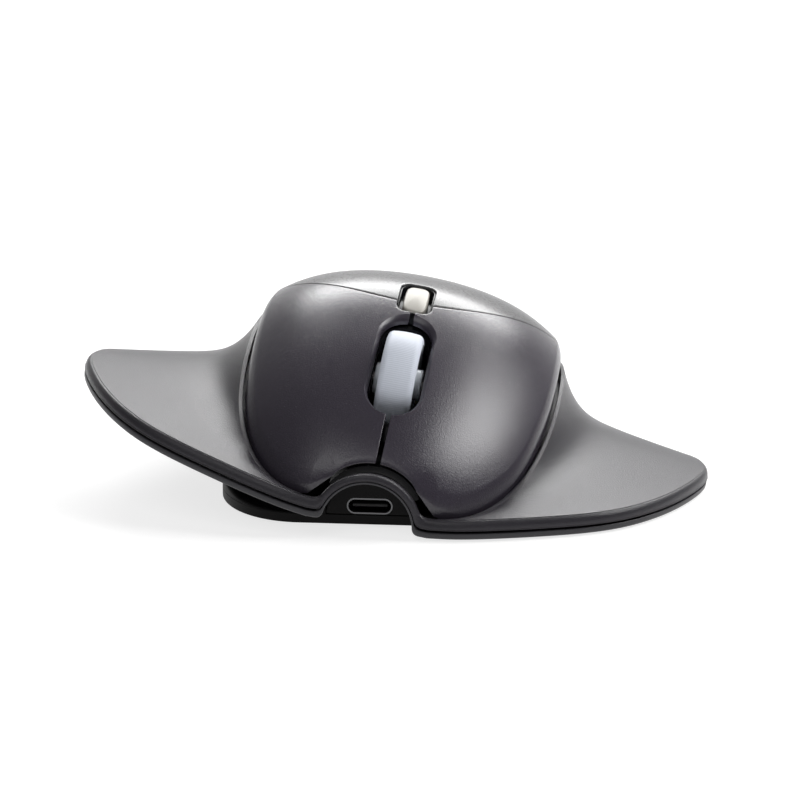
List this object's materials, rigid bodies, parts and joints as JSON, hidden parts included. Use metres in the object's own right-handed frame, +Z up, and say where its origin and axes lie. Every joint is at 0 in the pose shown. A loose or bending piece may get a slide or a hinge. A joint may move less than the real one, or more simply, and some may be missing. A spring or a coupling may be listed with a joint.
{
  "type": "ergonomic mouse",
  "caption": "Wireless ergonomic mouse: domed grip with two button plates and wheel, spread wing skirt that rocks about a low base with a rear rail and front charging port.",
  "frame": {"origin": "centre of the bounding box in plan, at the desk under the feet", "axes": "+Z up, the front with the charging port faces -Y, +X to the right seen from the front view, across the wings"},
  "size_m": [0.1268, 0.1126, 0.0403],
  "materials": {
    "graphite_plate": "fine spark texture, satin",
    "graphite_smooth": "smooth satin",
    "graphite_wing": "fine spark texture, satin",
    "graphite_lower": "satin",
    "base_black": "satin",
    "gloss_black": "polished",
    "inner_black": "moulded",
    "wheel_rubber": "ribbed, satin",
    "hub_plastic": "milky",
    "cap_silver": "satin",
    "steel": "bright",
    "board_green": "solder mask",
    "chip_black": "moulded",
    "lens_clear": "clear",
    "glide_pad": "slippery plastic",
    "battery_wrap": "foil",
    "ivory_plastic": "moulded",
    "ribbon_film": "polyimide film"
  },
  "bodies": {
    "base": {"base_tray": "base_black", "base_deck": "base_black", "main_pcb": "board_green", "soc_chip": "chip_black", "usb_c_shell": "steel", "usb_c_tongue": "gloss_black", "optical_sensor": "chip_black", "sensor_lens": "lens_clear", "front_foot": "glide_pad", "rear_foot": "glide_pad", "base_screws": "steel", "rear_rail": "inner_black", "rail_screws": "steel", "power_switch_housing": "inner_black", "pair_switch": "inner_black", "ffc_connector_base": "ivory_plastic", "ribbon_cable": "ribbon_film"},
    "power_knob": {"power_switch_knob": "cap_silver"},
    "pair_cap": {"pair_button": "cap_silver"},
    "shell": {"wing_upper_shell": "graphite_wing", "wing_lower_shell": "graphite_lower", "wing_screws": "steel", "top_cover": "graphite_smooth", "chassis": "inner_black", "chassis_screws": "steel", "rear_shoe": "inner_black", "shoe_screws": "steel", "centre_insert": "gloss_black", "button_hinge_pins": "steel", "button_pcb": "board_green", "left_microswitch": "inner_black", "right_microswitch": "inner_black", "middle_click_switch": "inner_black", "dpi_board": "board_green", "dpi_tact_switch": "inner_black", "battery_cell": "battery_wrap", "ffc_connector_shell": "ivory_plastic"},
    "left_plate": {"left_button": "graphite_plate"},
    "right_plate": {"right_button": "graphite_plate"},
    "left_plunger": {"left_switch_plunger": "ivory_plastic"},
    "right_plunger": {"right_switch_plunger": "ivory_plastic"},
    "carrier": {"wheel_carrier": "inner_black", "wheel_encoder": "inner_black"},
    "wheel": {"wheel_tyre": "wheel_rubber", "wheel_hub": "hub_plastic", "wheel_axle": "steel"},
    "dpi_cap": {"dpi_button": "cap_silver"}
  },
  "joints": [
    {"name": "shell_tilt", "type": "hinge", "parent": "base", "child": "shell", "pos_m": [-0.00173, 0, 0.0022], "axis": [0, 1, 0], "range_deg": [-18.8, 0], "deforming": ["ribbon_cable"]},
    {"name": "left_click", "type": "hinge", "parent": "shell", "child": "left_plate", "pos_m": [0.00307, -0.01162, 0.03121], "axis": [0.9866, 0, -0.1633], "range_deg": [0, 0.45], "stiffness_Nm_per_rad": 3, "springref_deg": -0.34},
    {"name": "right_click", "type": "hinge", "parent": "shell", "child": "right_plate", "pos_m": [0.00307, -0.01162, 0.03121], "axis": [0.9866, 0, -0.1633], "range_deg": [0, 0.45], "stiffness_Nm_per_rad": 3, "springref_deg": -0.34},
    {"name": "left_plunger_slide", "type": "slide", "parent": "shell", "child": "left_plunger", "axis": [-0.1633, 0, -0.9866], "range_m": [0, 0.000155]},
    {"name": "right_plunger_slide", "type": "slide", "parent": "shell", "child": "right_plunger", "axis": [-0.1633, 0, -0.9866], "range_m": [0, 0.000155]},
    {"name": "wheel_press", "type": "hinge", "parent": "shell", "child": "carrier", "pos_m": [0.00044, -0.01662, 0.01532], "axis": [0.9866, 0, -0.1633], "range_deg": [0, 0.9], "stiffness_Nm_per_rad": 2, "springref_deg": -1.15},
    {"name": "wheel_spin", "type": "hinge", "parent": "carrier", "child": "wheel", "pos_m": [0.00198, -0.02892, 0.02459], "axis": [0.9866, 0, -0.1633], "continuous": true},
    {"name": "dpi_press", "type": "slide", "parent": "shell", "child": "dpi_cap", "axis": [-0.1633, 0, -0.9866], "range_m": [0, 0.00035], "stiffness_N_per_m": 900, "springref_m": -0.0002},
    {"name": "power_slide", "type": "slide", "parent": "base", "child": "power_knob", "axis": [1, 0, 0], "range_m": [0, 0.0016]},
    {"name": "pair_press", "type": "slide", "parent": "base", "child": "pair_cap", "axis": [0, 0, 1], "range_m": [0, 0.0002], "stiffness_N_per_m": 600, "springref_m": -0.0002}
  ],
  "couplings": [
    {"joint": "left_plunger_slide", "follows": "left_click", "m_per_rad": 0.0195},
    {"joint": "right_plunger_slide", "follows": "right_click", "m_per_rad": 0.0195}
  ]
}
